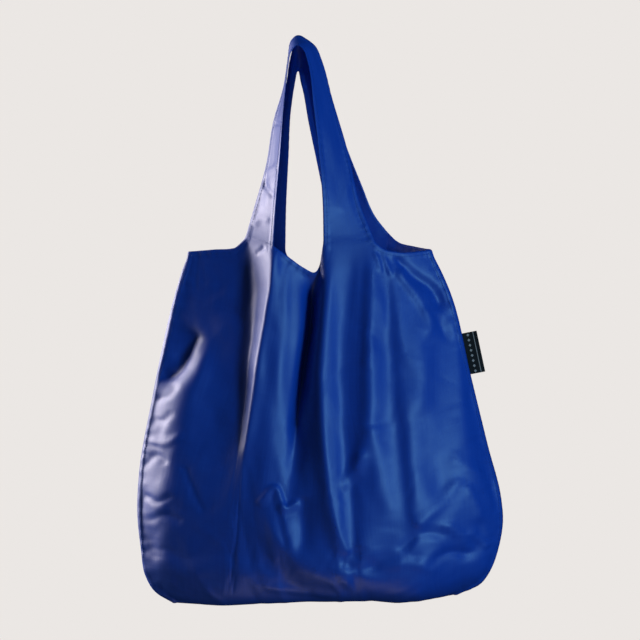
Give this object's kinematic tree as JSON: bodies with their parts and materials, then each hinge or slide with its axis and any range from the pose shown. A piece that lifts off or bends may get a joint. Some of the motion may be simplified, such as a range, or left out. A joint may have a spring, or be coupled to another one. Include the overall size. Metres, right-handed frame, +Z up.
{
  "type": "reusable shopping bag",
  "caption": "Thin cloth carrier bag sewn from a front and a back panel, each with its own handle loop, hanging open and softly puffed from the loops.",
  "frame": {"origin": "where the two handle loops hang, on the middle plane between the panels", "axes": "+Z up along the hanging bag, -Y out of the front panel, +X to the right as seen from the front"},
  "size_m": [0.4304, 0.1619, 0.6695],
  "materials": {
    "nylon_cloth": "thin satin taffeta, deep blue, slightly crumpled",
    "tab_weave": "dense black woven tape"
  },
  "bodies": {
    "root": {"front_panel": "nylon_cloth", "back_panel": "nylon_cloth", "side_tab": "tab_weave"}
  },
  "joints": []
}
